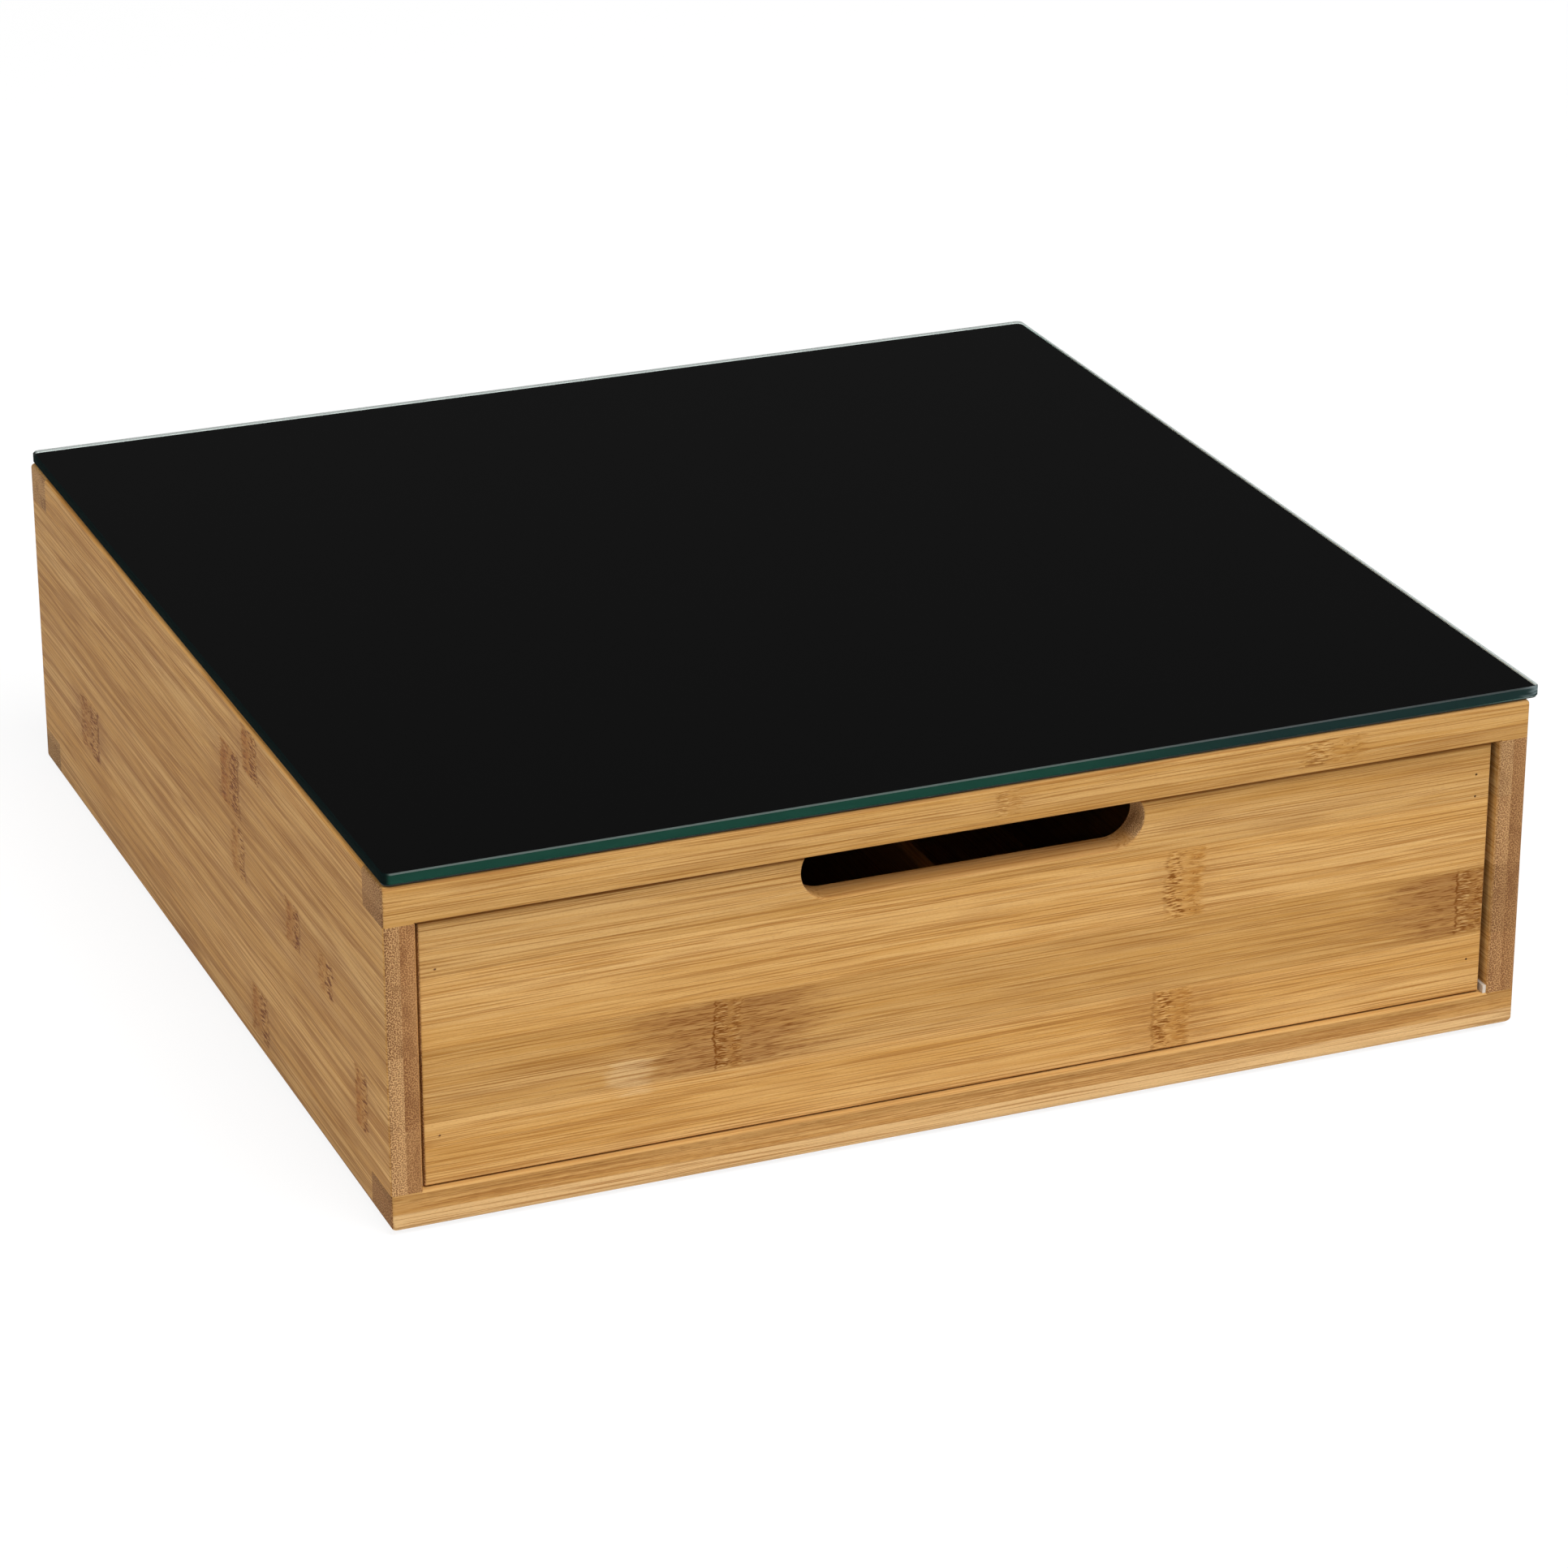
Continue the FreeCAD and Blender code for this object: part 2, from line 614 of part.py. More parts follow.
def divider(label, x):
    slat = box(label + "_slat", x, "divider_front", "drawer_floor", "divider_thickness",
               "divider_end - divider_front", "divider_height")
    doc.recompute()
    top = number("drawer_side_top - divider_drop")
    return finish(label, rounded(label + "_eased", slat, [
        (lambda edge: lies_at(edge, "Z", top) and edge.BoundBox.YLength > 1, "divider_ease")]))


drawer_front()
drawer_side("drawer_left_side", "drawer_left")
drawer_side("drawer_right_side", "drawer_right - drawer_side_thickness")
drawer_back()
drawer_bottom()
for name, place_x in zip(DIVIDERS, divider_places()):
    divider(name, place_x)
finish("drawer_front_pins", group("front_pin_group", front_pins))
finish("drawer_back_pins", group("back_pin_group", back_pins))

# Check every object, then write one file for each sub-part

doc.recompute()
for thing in doc.Objects:
    if "Invalid" in thing.State or "Error" in thing.State:
        raise RuntimeError("%s did not recompute: %s" % (thing.Name, thing.State))
for piece in finished:
    if piece.Shape.isNull() or not piece.Shape.isValid() or piece.Shape.Volume <= 0:
        raise RuntimeError("%s has no valid shape" % piece.Label)

os.makedirs("parts", exist_ok=True)
for piece in finished:
    piece.Shape.exportStep(os.path.join("parts", piece.Label + ".step"))
    extent = piece.Shape.BoundBox
    print("%-22s solids %d  volume %10.1f  x %.2f..%.2f  y %.2f..%.2f  z %.2f..%.2f" % (
        piece.Label, len(piece.Shape.Solids), piece.Shape.Volume, extent.XMin, extent.XMax,
        extent.YMin, extent.YMax, extent.ZMin, extent.ZMax))
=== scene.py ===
import bpy
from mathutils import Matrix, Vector


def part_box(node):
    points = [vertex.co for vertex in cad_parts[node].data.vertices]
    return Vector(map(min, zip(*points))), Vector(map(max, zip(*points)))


# Looks, floor, light and camera of the drawer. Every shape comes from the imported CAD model

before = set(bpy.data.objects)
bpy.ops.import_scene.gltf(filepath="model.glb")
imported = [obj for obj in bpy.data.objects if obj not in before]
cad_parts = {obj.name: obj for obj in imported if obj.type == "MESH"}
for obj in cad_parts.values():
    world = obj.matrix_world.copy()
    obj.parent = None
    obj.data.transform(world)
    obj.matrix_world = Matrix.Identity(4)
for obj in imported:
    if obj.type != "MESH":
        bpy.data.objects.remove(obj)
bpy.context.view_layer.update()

# The scene is in metres, and its materials count in mm of the same frame

MM = 0.001
PER_MM = 1000.0


def low_corner(node_name):
    """A CAD node's lowest corner at rest, in mm."""
    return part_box(node_name)[0] * PER_MM


# Colours and a helper that builds node trees


def colour(red, green, blue):
    """Shader colour of an 8-bit screen colour."""

    def linear(value):
        value /= 255
        return value / 12.92 if value <= 0.04045 else ((value + 0.055) / 1.055) ** 2.4

    return (linear(red), linear(green), linear(blue), 1.0)


class Graph:
    """Adds nodes to one tree. A value is a number, a colour or another node's output."""

    def __init__(self, tree):
        self.tree = tree
        tree.nodes.clear()

    def add(self, kind, inputs=(), **settings):
        node = self.tree.nodes.new(kind)
        for name, value in settings.items():
            setattr(node, name, value)
        for name, value in dict(inputs).items():
            self.feed(node.inputs[name], value)
        return node

    def feed(self, socket, value):
        if isinstance(value, bpy.types.NodeSocket):
            self.tree.links.new(value, socket)
        else:
            socket.default_value = value

    def math(self, operation, *values):
        return self.add("ShaderNodeMath", dict(enumerate(values)), operation=operation).outputs[0]

    def vector(self, operation, *values):
        return self.add("ShaderNodeVectorMath", dict(enumerate(values)), operation=operation).outputs[0]

    def parts(self, vector):
        return self.add("ShaderNodeSeparateXYZ", {"Vector": vector}).outputs

    def join(self, along, across, depth):
        return self.add("ShaderNodeCombineXYZ", {"X": along, "Y": across, "Z": depth}).outputs[0]

    def noise(self, vector, size, detail=2.0, roughness=0.5):
        """Noise from 0 to 1 whose grains have that size along, across and in depth, in mm."""
        stretched = self.vector("DIVIDE", vector, size)
        inputs = {"Vector": stretched, "Scale": 1.0, "Detail": detail, "Roughness": roughness}
        return self.add("ShaderNodeTexNoise", inputs).outputs["Fac"]

    def sway(self, vector, size, reach, detail=2.0, roughness=0.5):
        """Noise round zero, about half of reach to each side."""
        return self.times(self.math("SUBTRACT", self.noise(vector, size, detail, roughness), 0.5), reach)

    def step(self, value, low, high):
        """0 below low, 1 above high and smooth between; falls instead if low is above high."""
        ends = (0.0, 1.0) if low < high else (1.0, 0.0)
        inputs = {
            "Value": value,
            "From Min": min(low, high),
            "From Max": max(low, high),
            "To Min": ends[0],
            "To Max": ends[1],
        }
        return self.add("ShaderNodeMapRange", inputs, interpolation_type="SMOOTHSTEP").outputs["Result"]

    def near(self, value, middle, outer, inner):
        """1 where value is within inner of middle, falling to 0 at outer."""
        return self.step(self.math("ABSOLUTE", self.math("SUBTRACT", value, middle)), outer, inner)

    def scaled(self, value, slope, base):
        """Base plus slope times value."""
        return self.math("MULTIPLY_ADD", value, slope, base)

    def times(self, *values):
        product = values[0]
        for value in values[1:]:
            product = self.math("MULTIPLY", product, value)
        return product

    def most(self, values):
        largest = values[0]
        for value in values[1:]:
            largest = self.math("MAXIMUM", largest, value)
        return largest

    def mix(self, factor, first, second, blend_type="MIX"):
        """A mix of two colours."""
        node = self.tree.nodes.new("ShaderNodeMix")
        node.data_type = "RGBA"
        node.blend_type = blend_type
        for index, value in ((0, factor), (6, first), (7, second)):
            self.feed(node.inputs[index], value)
        return node.outputs[2]

    def cover(self, base, layers):
        """Base colour under layers of share and colour, the last on top."""
        for share, tint in layers:
            base = self.mix(share, base, tint)
        return base

    def blend(self, share, first, second):
        """A mix of two shaders."""
        return self.add("ShaderNodeMixShader", {0: share, 1: first, 2: second}).outputs[0]

    def place(self):
        """The point in mm of the CAD frame. It moves with the piece."""
        point = self.add("ShaderNodeTexCoord").outputs["Object"]
        return self.vector("MULTIPLY", point, (PER_MM, PER_MM, PER_MM))

    def normal(self):
        return self.add("ShaderNodeTexCoord").outputs["Normal"]

    def bump(self, height, strength, depth):
        """A bumped normal, with the bump's depth in mm."""
        inputs = {"Height": height, "Strength": strength, "Distance": depth * MM}
        return self.add("ShaderNodeBump", inputs).outputs[0]


def new_group(name, inputs, outputs):
    """A node group: its tree, its graph, its input sockets and the sockets that it makes."""
    tree = bpy.data.node_groups.new(name, "ShaderNodeTree")
    for in_out, sockets in (("INPUT", inputs), ("OUTPUT", outputs)):
        for socket_name, kind in sockets.items():
            tree.interface.new_socket(name=socket_name, in_out=in_out, socket_type="NodeSocket" + kind)
    graph = Graph(tree)
    return tree, graph, graph.add("NodeGroupInput").outputs, graph.add("NodeGroupOutput").inputs


def new_material(name):
    material = bpy.data.materials.new(name)
    material.use_nodes = True
    graph = Graph(material.node_tree)
    return material, graph, graph.add("ShaderNodeOutputMaterial").inputs


def paint(node_name, material):
    """Gives a CAD node that material in each of its slots."""
    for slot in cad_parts[node_name].material_slots:
        slot.material = material


# Bamboo. Board coordinates are along the grain, across it and into the board, in mm

PALE = colour(214, 170, 108)
GOLD = colour(200, 152, 86)
AMBER = colour(188, 134, 60)
LIGHT_FIBRE = colour(226, 186, 124)
FIBRE = colour(152, 100, 42)
PITH = colour(117, 63, 12)
RUST = colour(164, 100, 34)
SMOKE = colour(154, 106, 60)
TAN = colour(226, 192, 142)
# Tints where a board turns upwards: the pale and the bright one are painted highlights, the brown one is
# painted shade
PALE_PAINTED_TOP_LIGHT = colour(206, 160, 98)
BRIGHT_PAINTED_TOP_LIGHT = colour(240, 172, 84)
BROWN_PAINTED_TOP_SHADE = colour(158, 110, 62)
END_PALE = colour(216, 176, 124)
END_BROWN = colour(176, 132, 86)
END_DOT = colour(116, 74, 44)

STRIP_WIDTH = 19.1
STRIP_START = 8.7
PLY = 4.0
FIBRE_BUNDLE = 0.43
GRAIN_DEPTH = 0.06
CHANCE_SHIFT = (900.0, 90.0, 90.0)
SEED_SHIFT = (130.0, 37.0, 41.0)

# Size of a layer's grains in mm, their detail and roughness, and where the layer begins and is full
GRAIN_LAYERS = {
    "broad bands": ((260.0, 9.0, 12.0), 2.0, 0.5, 0.3, 0.7),
    "dark streaks": ((130.0, 2.4, 3.5), 2.0, 0.65, 0.48, 0.62),
    "fine lines": ((24.0, 0.28, 0.7), 0.0, 0.5, 0.54, 0.66),
    "long lines": ((60.0, 0.32, 0.9), 0.0, 0.5, 0.6, 0.68),
    "crowded lines": ((45.0, 3.5, 5.0), 1.0, 0.5, 0.36, 0.6),
    "patches": ((50.0, 8.0, 12.0), 2.0, 0.5, 0.55, 0.75),
    "dashes": ((4.5, 0.24, 0.6), 1.0, 0.5, 0.52, 0.64),
    "specks": ((0.9, 0.22, 0.3), 1.0, 0.5, 0.5, 0.7),
    "end stains": ((900.0, 11.0, 4.5), 2.0, 0.5, 0.52, 0.7),
}


def joint_group():
    """The mark that a joint of the bamboo culm leaves in one strip of the board."""
    tree, graph, given, made = new_group(
        "bamboo joint",
        {
            "Board": "Vector",
            "Along": "Float",
            "Across": "Float",
            "Half width": "Float",
            "Half height": "Float",
            "Shade reach": "Float",
            "Smoke": "Float",
            "Strength": "Float",
        },
        {"Ridge": "Float", "Strokes": "Float", "Glints": "Float", "Shade": "Float"},
    )
    board, smoke, strength = given["Board"], given["Smoke"], given["Strength"]
    along, across, depth = graph.parts(board)

    # The mark wanders along the grain. It is measured from -1 to 1 along it and from 0 to 1 across it
    wander = graph.sway(board, (60.0, 3.2, 60.0), graph.scaled(smoke, -4.0, 6.8), 3.0, 0.6)
    away = graph.math("ADD", graph.math("SUBTRACT", along, given["Along"]), wander)
    signed = graph.math("DIVIDE", away, given["Half width"])
    u = graph.math("ABSOLUTE", signed)
    v = graph.math("DIVIDE", graph.math("SUBTRACT", across, given["Across"]), given["Half height"])
    v = graph.math("ABSOLUTE", v)
    inside = graph.step(v, 1.04, 0.9)

    # Amber ridge, in blotches on its far side
    blotches = graph.step(graph.noise(board, (5.0, 1.3, 9.0)), 0.4, 0.62)
    warm = graph.scaled(graph.times(blotches, graph.step(signed, 0.0, 0.4)), 0.5, 0.7)
    graph.feed(made["Ridge"], graph.times(inside, graph.step(u, 1.35, 0.8), warm, strength))

    # Short strokes in two ragged columns
    jag = graph.sway(board, (40.0, 0.7, 40.0), 1.3, 1.0)
    slanted = graph.math("ADD", along, graph.times(across, 0.4))
    curled = graph.math("ADD", across, graph.times(graph.noise(board, (3.0, 1.8, 9.0), 1.0), 0.5))
    waves = graph.noise(graph.join(slanted, curled, depth), (3.2, 0.44, 6.0), 2.0, 0.6)
    ragged = graph.math("ADD", signed, jag)
    first = graph.near(ragged, -0.6, 0.62, 0.3)
    second = graph.near(ragged, 0.7, 0.5, 0.2)
    column = graph.math("MAXIMUM", first, graph.times(second, graph.scaled(smoke, 0.5, 0.3)))
    ticks = graph.times(column, graph.step(waves, 0.5, 0.58))

    # A dark broken line before the first column, and a few pores
    broken = graph.step(graph.noise(board, (6.0, 1.6, 6.0), 1.0), 0.36, 0.5)
    line = graph.math("ADD", signed, graph.scaled(jag, 0.25, 1.12))
    rim = graph.times(graph.step(graph.math("ABSOLUTE", line), 0.15, 0.04), broken, smoke)
    pores_at = graph.vector("DIVIDE", board, (1.9, 1.3, 30.0))
    pore = graph.add("ShaderNodeTexVoronoi", {"Vector": pores_at, "Scale": 1.0}).outputs["Distance"]
    pore = graph.step(pore, 0.2, 0.12)
    pores = graph.times(pore, graph.step(u, 1.0, 0.8), graph.step(waves, 0.4, 0.6))
    graph.feed(made["Strokes"], graph.times(inside, graph.most([ticks, rim, pores]), strength))
    faint = graph.scaled(strength, -0.6, 1.4)
    graph.feed(made["Glints"], graph.times(inside, column, graph.step(waves, 0.47, 0.38), faint))

    # Brown shade that frays out along the grain
    reach = graph.math("ABSOLUTE", graph.math("DIVIDE", away, given["Shade reach"]))
    frayed = graph.math("ADD", reach, graph.sway(board, (26.0, 1.2, 20.0), 1.2))
    graph.feed(made["Shade"], graph.times(graph.step(v, 1.12, 0.8), graph.step(frayed, 1.0, 0.3), smoke))
    return tree


def bamboo_group():
    """Bamboo board of glued strips: streaks, fibres, joints and dotted end grain."""
    tree, graph, given, made = new_group(
        "bamboo",
        {
            "Board": "Vector",
            "Facing": "Vector",
            "Seed": "Vector",
            "Strip width": "Float",
            "Strip start": "Float",
            "Ply thickness": "Float",
            "Ply start": "Float",
            "End brown": "Float",
            "Dark streaks": "Float",
            "Pale patch": "Float",
            "Painted top light and shade": "Float",
            "Painted top tint": "Color",
            "Ridge": "Float",
            "Strokes": "Float",
            "Glints": "Float",
            "Shade": "Float",
            "Tone": "Color",
        },
        {"Color": "Color", "Roughness": "Float", "Height": "Float"},
    )
    _, across, depth = graph.parts(given["Board"])
    ridge, strokes, shade = given["Ridge"], given["Strokes"], given["Shade"]

    # Each strip and ply has a chance of its own, which shifts its grain and its brightness
    strip = graph.math("SUBTRACT", across, given["Strip start"])
    strip = graph.math("DIVIDE", strip, given["Strip width"])
    ply = graph.math("SUBTRACT", depth, given["Ply start"])
    ply = graph.math("DIVIDE", ply, given["Ply thickness"])
    ply_number = graph.math("FLOOR", ply)
    cell = graph.vector("ADD", graph.join(graph.math("FLOOR", strip), ply_number, 0.5), given["Seed"])
    chance = graph.add("ShaderNodeTexWhiteNoise", {"Vector": cell}, noise_dimensions="3D").outputs["Color"]
    lucky, _, tint = graph.parts(chance)
    by_chance = graph.vector("MULTIPLY", chance, CHANCE_SHIFT)
    by_seed = graph.vector("MULTIPLY", given["Seed"], SEED_SHIFT)
    shifted = graph.vector("ADD", graph.vector("ADD", given["Board"], by_chance), by_seed)

    # Fibres drift a little, and swirl at a joint
    drift = graph.sway(shifted, (240.0, 30.0, 30.0), 4.0)
    swirl = graph.math("SUBTRACT", graph.noise(shifted, (5.0, 4.0, 4.0), 1.0), 0.5)
    drift = graph.math("ADD", drift, graph.times(swirl, ridge, 3.5))
    grain = graph.vector("ADD", shifted, graph.join(0.0, drift, drift))

    def layer(name):
        size, detail, roughness, begins, full = GRAIN_LAYERS[name]
        return graph.step(graph.noise(grain, size, detail, roughness), begins, full)

    streaks = graph.noise(grain, (70.0, 1.0, 1.4), 2.0, 0.6)
    fibres = graph.noise(grain, (20.0, 0.24, 0.5), 2.0, 0.7)
    lines = graph.times(layer("fine lines"), graph.scaled(layer("crowded lines"), 0.7, 0.3))
    boldness = graph.scaled(given["Dark streaks"], 0.5, 0.45)
    smoky = graph.scaled(graph.step(streaks, 0.35, 0.65), 0.35, 0.38)
    rust = graph.times(graph.math("SUBTRACT", ridge, 0.9), 0.9)
    from_middle = graph.math("ABSOLUTE", graph.math("SUBTRACT", graph.math("FRACT", strip), 0.5))
    seam = graph.step(from_middle, 0.488, 0.498)
    face = graph.mix(layer("broad bands"), GOLD, PALE)
    face = graph.cover(
        face,
        (
            (graph.times(graph.step(streaks, 0.46, 0.64), 0.4), AMBER),
            (graph.times(layer("dark streaks"), given["Dark streaks"]), FIBRE),
            (graph.times(graph.step(fibres, 0.5, 0.68), 0.4), LIGHT_FIBRE),
            (graph.times(layer("patches"), 0.25), SMOKE),
            (given["Pale patch"], TAN),
            (graph.times(lines, boldness), FIBRE),
            (graph.times(layer("long lines"), 0.6), FIBRE),
            (graph.times(layer("specks"), 0.16), SMOKE),
            (graph.times(ridge, 0.55), AMBER),
            (rust, RUST),
            (graph.times(shade, smoky), SMOKE),
            (graph.times(shade, layer("dashes"), 0.75), PITH),
            (graph.times(given["Glints"], 0.55), LIGHT_FIBRE),
            (graph.times(strokes, 0.85), PITH),
            # Where the board turns upwards: painted top light, a highlight from a pale tint and shade from
            # a brown one
            (given["Painted top light and shade"], given["Painted top tint"]),
            (graph.times(seam, 0.15), FIBRE),
        ),
    )

    # Cut ends: a bundle of fibres is a dark dot, and they crowd towards the culm's skin
    in_bundles = [graph.math("DIVIDE", value, FIBRE_BUNDLE) for value in (across, depth)]
    moved = graph.vector("MULTIPLY", chance, (40.0, 40.0, 0.0))
    dots_at = graph.vector("ADD", graph.join(*in_bundles, 0.0), moved)
    cells = {"Vector": dots_at, "Scale": 1.0, "Randomness": 0.72}
    bundles = graph.add("ShaderNodeTexVoronoi", cells, voronoi_dimensions="2D").outputs["Distance"]
    skin = graph.math("FRACT", ply)
    dot_edge = graph.math("ADD", bundles, graph.scaled(skin, 0.14, -0.07))
    dots = graph.times(graph.step(dot_edge, 0.54, 0.24), graph.scaled(lucky, 0.25, 0.7))
    brown = graph.scaled(graph.math("MINIMUM", ply_number, 1.0), 0.8, given["End brown"])
    brown = graph.math("ADD", brown, graph.scaled(skin, 0.2, graph.times(lucky, 0.45)))
    end = graph.mix(brown, END_PALE, END_BROWN)
    end = graph.cover(end, ((graph.times(layer("end stains"), 0.4), END_DOT), (dots, END_DOT)))

    is_end = graph.step(graph.math("ABSOLUTE", graph.parts(given["Facing"])[0]), 0.55, 0.8)
    whole = graph.mix(is_end, face, end)
    bright = graph.scaled(tint, 0.16, 0.92)
    whole = graph.mix(1.0, whole, graph.join(bright, bright, bright), "MULTIPLY")
    graph.feed(made["Color"], graph.mix(1.0, whole, given["Tone"], "MULTIPLY"))
    graph.feed(made["Roughness"], graph.scaled(is_end, 0.15, graph.scaled(fibres, 0.16, 0.42)))
    height = graph.math("SUBTRACT", fibres, graph.math("ADD", lines, strokes))
    graph.feed(made["Height"], graph.math("SUBTRACT", height, graph.times(is_end, dots)))
    return tree


JOINT = joint_group()
BAMBOO = bamboo_group()

# The frame's axes along the grain, across it and into the board
BOARD_AXES = {
    "x": ("X", "Z", "Y"),
    "y": ("Y", "Z", "X"),
    "flat x": ("X", "Y", "Z"),
    "flat y": ("Y", "X", "Z"),
}

# Plies begin this far outside a board's face, in mm, so that no face lies between two plies
FACE_MARGIN = 0.01


def pale_spot_share(graph, board, spot):
    """A pale spot with frayed edges, from its middle and its reach along and across."""
    middle, reach = spot
    away = graph.vector("DIVIDE", graph.vector("SUBTRACT", board, middle), reach)
    away = graph.vector("MULTIPLY", away, (1.0, 1.0, 0.0))
    distance = graph.add("ShaderNodeVectorMath", {0: away}, operation="LENGTH").outputs["Value"]
    frayed = graph.math("ADD", distance, graph.sway(board, (9.0, 1.6, 9.0), 1.4))
    return graph.times(graph.step(frayed, 1.1, 0.5), 0.5)


def two_tone_shares(graph, board, low, high):
    """A pale strip below low, and a brown one from there to high."""
    soft = 0.3
    across = graph.parts(board)[1]
    pale = graph.times(graph.step(across, low + soft, low - soft), 0.6)
    above_low = graph.step(across, low - soft, low + soft)
    below_high = graph.step(across, high, high - 0.4)
    return {"Pale patch": pale, "Shade": graph.times(above_low, below_high, 0.4)}


def bamboo(
    name,
    grain,
    seed,
    marks=(),
    strip=STRIP_WIDTH,
    ply=PLY,
    ply_start=0.0,
    end_brown=0.0,
    dark_streaks=0.12,
    pale_spot=None,
    two_tone=None,
    painted_top_tint=BROWN_PAINTED_TOP_SHADE,
    tone=(1.0, 1.0, 1.0),
):
    """A bamboo board with its joints, and with painted top light where it turns upwards: a pale or bright
    tint is a painted highlight, a brown one painted shade.
    """
    material, graph, surface = new_material(name)
    normal = graph.normal()

    def in_board_order(vector):
        parts = graph.parts(vector)
        return graph.join(*(parts[axis] for axis in BOARD_AXES[grain]))

    board = in_board_order(graph.place())
    up = graph.parts(normal)[2]
    values = {
        "Board": board,
        "Facing": in_board_order(normal),
        "Seed": (seed, seed * 1.7, seed * 0.3),
        "Strip width": strip,
        "Strip start": STRIP_START,
        "Ply thickness": ply,
        "Ply start": ply_start - FACE_MARGIN,
        "End brown": end_brown,
        "Dark streaks": dark_streaks,
        # Surfaces that turn upwards get painted top light and shade
        "Painted top light and shade": graph.times(graph.step(up, 0.15, 0.5), 0.35),
        "Painted top tint": painted_top_tint,
        "Tone": (*tone, 1.0),
    }
    joints = [graph.add("ShaderNodeGroup", {"Board": board, **mark}, node_tree=JOINT) for mark in marks]
    if joints:
        for kind in ("Ridge", "Strokes", "Glints", "Shade"):
            values[kind] = graph.most([joint.outputs[kind] for joint in joints])
    if pale_spot is not None:
        values["Pale patch"] = pale_spot_share(graph, board, pale_spot)
    if two_tone is not None:
        values.update(two_tone_shares(graph, board, *two_tone))
    wood = graph.add("ShaderNodeGroup", node_tree=BAMBOO)
    for socket, value in values.items():
        graph.feed(wood.inputs[socket], value)
    shader = graph.add(
        "ShaderNodeBsdfPrincipled",
        {
            "Base Color": wood.outputs["Color"],
            "Roughness": wood.outputs["Roughness"],
            "Specular IOR Level": 0.04,
            "Normal": graph.bump(wood.outputs["Height"], 0.5, GRAIN_DEPTH),
        },
    )
    graph.feed(surface["Surface"], shader.outputs[0])
    return material


def joint(along, across, width=4.5, height=9.4, reach=14.0, smoke=0.4, strength=0.8):
    """A joint's middle, half width along the grain and half height across it in mm, and its looks."""
    return {
        "Along": along,
        "Across": across,
        "Half width": width,
        "Half height": height,
        "Shade reach": reach,
        "Smoke": smoke,
        "Strength": strength,
    }


# Joints of the culm. On the front, the left side and the top rail they lie as in the photograph

FRONT_JOINTS = (
    joint(55.9, 56.3, 4.6, 9.4, 14.0, 0.2, 1.0),
    joint(53.2, 19.5, 4.6, 8.4, 22.0, 0.4, 1.0),
    joint(-66.6, 37.4, 3.1, 9.4, 33.0, 1.0, 1.0),
    joint(137.8, 37.4, 3.6, 9.0, 30.0, 1.0, 0.9),
)
PALE_SPOT = ((-91.6, 30.7, 0.0), (7.4, 6.0, 1.0))
LEFT_SIDE_JOINTS = (
    joint(-33.0, 70.5, 7.0, 9.0, 24.0, 0.4, 1.7),
    joint(-38.0, 52.0, 5.0, 7.0, 14.0, 0.3, 1.3),
    joint(-51.5, 84.0, 5.5, 6.5, 22.0, 0.4, 1.7),
    joint(-83.8, 51.0, 5.0, 6.0, 18.0, 0.4, 1.6),
    joint(-110.0, 48.5, 5.0, 5.0, 12.0, 0.3, 1.2),
    joint(-51.7, 12.0, 6.0, 7.0, 16.0, 0.4, 1.4),
    joint(-136.3, 27.0, 4.0, 8.0, 12.0, 0.3, 1.6),
    joint(107.0, 30.0, 8.0, 8.0, 26.0, 0.6, 1.4),
)
RIGHT_SIDE_JOINTS = (
    joint(-12.0, 22.0, reach=18.0),
    joint(64.0, 41.0, smoke=0.8),
    joint(-96.0, 61.0, reach=12.0),
    joint(118.0, 80.0, reach=16.0),
)
TOP_RAIL_JOINTS = (
    joint(6.0, 87.0, 3.0, 3.4, 9.0, 0.2, 0.5),
    joint(95.5, 86.5, 8.0, 3.5, 14.0, 0.1, 0.7),
)
RAIL_DEPTH = 15.0
BOTTOM_RAIL_TONES = (5.6, 10.6)


def dress_front():
    front = bamboo("drawer_front_bamboo", "x", 3.0, FRONT_JOINTS, end_brown=0.7, pale_spot=PALE_SPOT)
    paint("drawer_front", front)


def dress_side_panels():
    left = {"dark_streaks": 0.62, "painted_top_tint": BRIGHT_PAINTED_TOP_LIGHT, "tone": (1.07, 1.05, 1.03)}
    sides = (
        ("left_side", 11.0, LEFT_SIDE_JOINTS, left),
        ("right_side", 23.0, RIGHT_SIDE_JOINTS, {"end_brown": 0.3}),
    )
    for side, seed, marks, looks in sides:
        panel = side + "_panel"
        paint(panel, bamboo(side + "_bamboo", "y", seed, marks, ply_start=low_corner(panel).x, **looks))


def dress_rails():
    """The four rails, each of one ply."""
    rails = (
        ("top_front_rail", 31.0, TOP_RAIL_JOINTS, None, 0.4, BROWN_PAINTED_TOP_SHADE),
        ("bottom_front_rail", 37.0, (), BOTTOM_RAIL_TONES, 1.0, PALE_PAINTED_TOP_LIGHT),
        ("top_back_rail", 41.0, (joint(-3.0, 87.0, height=5.0),), None, 0.3, PALE_PAINTED_TOP_LIGHT),
        ("bottom_back_rail", 43.0, (joint(11.0, 5.0, height=5.0),), None, 0.3, PALE_PAINTED_TOP_LIGHT),
    )
    for name, seed, marks, two_tone, end_brown, painted_top_tint in rails:
        looks = {"two_tone": two_tone, "end_brown": end_brown, "painted_top_tint": painted_top_tint}
        plies = {"ply": RAIL_DEPTH, "ply_start": low_corner(name).y}
        paint(name, bamboo(name + "_bamboo", "x", seed, marks, **plies, **looks))


